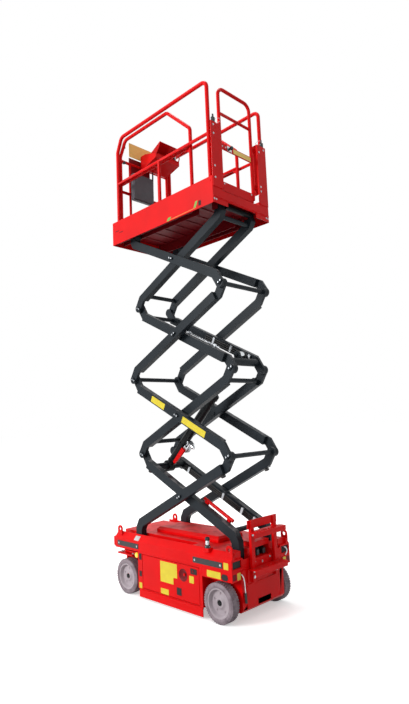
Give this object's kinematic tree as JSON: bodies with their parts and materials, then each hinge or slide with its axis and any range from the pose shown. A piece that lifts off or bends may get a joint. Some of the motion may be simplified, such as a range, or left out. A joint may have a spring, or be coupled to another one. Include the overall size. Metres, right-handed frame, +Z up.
{
  "type": "scissor lift",
  "caption": "Compact electric slab scissor lift, raised part way: red chassis and railed platform on a stack of dark grey cranked scissor arms, with a slide-out deck and an entry gate.",
  "frame": {"origin": "on the ground under the middle of the machine's overall length and width", "axes": "+X towards the entry ladder, -X towards the steered wheels, +Y across the machine, +Z up"},
  "size_m": [1.65, 0.76, 4.561],
  "materials": {
    "red_paint": "gloss powder coat",
    "arm_paint": "satin dark grey paint",
    "black_steel": "satin black paint",
    "chrome_rod": "polished",
    "black_plastic": "matt black plastic",
    "grey_tyre": "pale grey non-marking rubber",
    "rim_paint": "pale grey paint",
    "amber_lens": "translucent amber plastic",
    "yellow_plate": "blank yellow film",
    "valve_metal": "machined"
  },
  "bodies": {
    "base": {"chassis_hull": "red_paint", "upper_body": "red_paint", "deck_hood": "red_paint", "front_frame": "red_paint", "rear_box": "red_paint", "steer_brackets": "red_paint", "lifting_eyes": "red_paint", "base_pivot_brackets": "red_paint", "entry_ladder": "red_paint", "rub_strips": "black_plastic", "side_lamps": "amber_lens"},
    "battery_tray_near": {"tray_door_near": "red_paint", "battery_block_near": "black_plastic"},
    "pothole_guard_near": {"pothole_guard_near": "red_paint"},
    "steer_knuckle_near": {"steer_knuckle_near": "black_steel"},
    "wheel_front_near": {"tyre_front_near": "grey_tyre", "rim_front_near": "rim_paint"},
    "wheel_rear_near": {"tyre_rear_near": "grey_tyre", "rim_rear_near": "rim_paint"},
    "battery_tray_far": {"tray_door_far": "red_paint", "battery_block_far": "black_plastic"},
    "pothole_guard_far": {"pothole_guard_far": "red_paint"},
    "steer_knuckle_far": {"steer_knuckle_far": "black_steel"},
    "wheel_front_far": {"tyre_front_far": "grey_tyre", "rim_front_far": "rim_paint"},
    "wheel_rear_far": {"tyre_rear_far": "grey_tyre", "rim_rear_far": "rim_paint"},
    "arm_1_inner": {"arm_1_inner": "arm_paint", "maintenance_prop": "red_paint"},
    "arm_1_outer": {"arm_1_outer": "arm_paint"},
    "arm_2_outer": {"arm_2_outer": "arm_paint"},
    "arm_2_inner": {"arm_2_inner": "arm_paint"},
    "arm_3_outer": {"arm_3_outer": "arm_paint"},
    "arm_3_inner": {"arm_3_inner": "arm_paint"},
    "arm_4_outer": {"arm_4_outer": "arm_paint"},
    "arm_4_inner": {"arm_4_inner": "arm_paint"},
    "lift_cylinder": {"cylinder_barrel": "black_steel", "valve_block": "valve_metal"},
    "lift_rod": {"cylinder_rod": "chrome_rod"},
    "platform": {"platform_floor": "red_paint", "platform_skirts": "red_paint", "platform_slide_rails": "black_steel", "main_rails_near": "red_paint", "main_rails_far": "red_paint", "entry_posts": "red_paint"},
    "entry_gate": {"entry_gate": "red_paint"},
    "extension_deck": {"deck_floor": "red_paint", "deck_rails": "red_paint", "sign_plate": "yellow_plate", "document_box": "black_plastic", "control_box": "red_paint"}
  },
  "joints": [
    {"name": "lift", "type": "hinge", "parent": "base", "child": "arm_1_inner", "pos_m": [0.637, 0, 0.50268], "axis": [0, 1, 0], "range_deg": [-26.5, 34]},
    {"name": "centre_pin_1", "type": "hinge", "parent": "arm_1_inner", "child": "arm_1_outer", "pos_m": [0.067, 0, 0.926], "axis": [0, 1, 0], "range_deg": [-68.5, 53.5]},
    {"name": "inner_knuckle_1", "type": "hinge", "parent": "arm_1_inner", "child": "arm_2_inner", "pos_m": [-0.53473, 0, 1.28756], "axis": [0, 1, 0], "range_deg": [-68.5, 53.5]},
    {"name": "centre_pin_2", "type": "hinge", "parent": "arm_2_inner", "child": "arm_2_outer", "pos_m": [0.067, 0, 1.64911], "axis": [0, 1, 0], "range_deg": [-53.5, 68.5]},
    {"name": "inner_knuckle_2", "type": "hinge", "parent": "arm_2_inner", "child": "arm_3_inner", "pos_m": [0.66873, 0, 2.01067], "axis": [0, 1, 0], "range_deg": [-53.5, 68.5]},
    {"name": "centre_pin_3", "type": "hinge", "parent": "arm_3_inner", "child": "arm_3_outer", "pos_m": [0.067, 0, 2.37223], "axis": [0, 1, 0], "range_deg": [-68.5, 53.5]},
    {"name": "inner_knuckle_3", "type": "hinge", "parent": "arm_3_inner", "child": "arm_4_inner", "pos_m": [-0.53473, 0, 2.73378], "axis": [0, 1, 0], "range_deg": [-68.5, 53.5]},
    {"name": "centre_pin_4", "type": "hinge", "parent": "arm_4_inner", "child": "arm_4_outer", "pos_m": [0.067, 0, 3.09534], "axis": [0, 1, 0], "range_deg": [-53.5, 68.5]},
    {"name": "platform_pivot", "type": "hinge", "parent": "arm_4_inner", "child": "platform", "pos_m": [0.60301, 0, 3.44851], "axis": [0, 1, 0], "range_deg": [-27, 34.5]},
    {"name": "cylinder_pivot", "type": "hinge", "parent": "arm_1_inner", "child": "lift_cylinder", "pos_m": [-0.39837, 0, 1.15802], "axis": [0, 1, 0], "range_deg": [-66.12, 51.65]},
    {"name": "cylinder_stroke", "type": "slide", "parent": "lift_cylinder", "child": "lift_rod", "axis": [0.7079, 0, 0.7063], "range_m": [-0.2491, 0.3185]},
    {"name": "steer_near", "type": "hinge", "parent": "base", "child": "steer_knuckle_near", "pos_m": [-0.635, -0.29, 0.36], "axis": [0, 0, 1], "range_deg": [-60, 60]},
    {"name": "roll_front_near", "type": "hinge", "parent": "steer_knuckle_near", "child": "wheel_front_near", "pos_m": [-0.635, -0.331, 0.157], "axis": [0, 1, 0], "continuous": true},
    {"name": "roll_rear_near", "type": "hinge", "parent": "base", "child": "wheel_rear_near", "pos_m": [0.557, -0.336, 0.157], "axis": [0, 1, 0], "continuous": true},
    {"name": "tray_swing_near", "type": "hinge", "parent": "base", "child": "battery_tray_near", "pos_m": [-0.3755, -0.367, 0.25], "axis": [0, 0, -1], "range_deg": [0, 90]},
    {"name": "guard_fold_near", "type": "hinge", "parent": "base", "child": "pothole_guard_near", "pos_m": [0, -0.368, 0.08], "axis": [1, 0, 0], "range_deg": [0, 85]},
    {"name": "steer_far", "type": "hinge", "parent": "base", "child": "steer_knuckle_far", "pos_m": [-0.635, 0.29, 0.36], "axis": [0, 0, 1], "range_deg": [-60, 60]},
    {"name": "roll_front_far", "type": "hinge", "parent": "steer_knuckle_far", "child": "wheel_front_far", "pos_m": [-0.635, 0.331, 0.157], "axis": [0, 1, 0], "continuous": true},
    {"name": "roll_rear_far", "type": "hinge", "parent": "base", "child": "wheel_rear_far", "pos_m": [0.557, 0.336, 0.157], "axis": [0, 1, 0], "continuous": true},
    {"name": "tray_swing_far", "type": "hinge", "parent": "base", "child": "battery_tray_far", "pos_m": [-0.3755, 0.367, 0.25], "axis": [0, 0, 1], "range_deg": [0, 90]},
    {"name": "guard_fold_far", "type": "hinge", "parent": "base", "child": "pothole_guard_far", "pos_m": [0, 0.368, 0.08], "axis": [-1, 0, 0], "range_deg": [0, 85]},
    {"name": "deck_slide", "type": "slide", "parent": "platform", "child": "extension_deck", "axis": [-1, 0, 0], "range_m": [0, 0.6]},
    {"name": "gate_swing", "type": "hinge", "parent": "platform", "child": "entry_gate", "pos_m": [0.665, 0.2385, 4], "axis": [0, 0, -1], "range_deg": [0, 85]}
  ],
  "couplings": [
    {"joint": "centre_pin_1", "follows": "lift", "ratio": -2},
    {"joint": "inner_knuckle_1", "follows": "lift", "ratio": -2},
    {"joint": "centre_pin_2", "follows": "lift", "ratio": 2},
    {"joint": "inner_knuckle_2", "follows": "lift", "ratio": 2},
    {"joint": "centre_pin_3", "follows": "lift", "ratio": -2},
    {"joint": "inner_knuckle_3", "follows": "lift", "ratio": -2},
    {"joint": "centre_pin_4", "follows": "lift", "ratio": 2},
    {"joint": "platform_pivot", "follows": "lift", "ratio": 1},
    {"joint": "cylinder_pivot", "follows": "lift", "ratio": -1.93},
    {"joint": "cylinder_stroke", "follows": "lift", "m_per_rad": 0.53},
    {"joint": "steer_far", "follows": "steer_near", "ratio": 1}
  ]
}
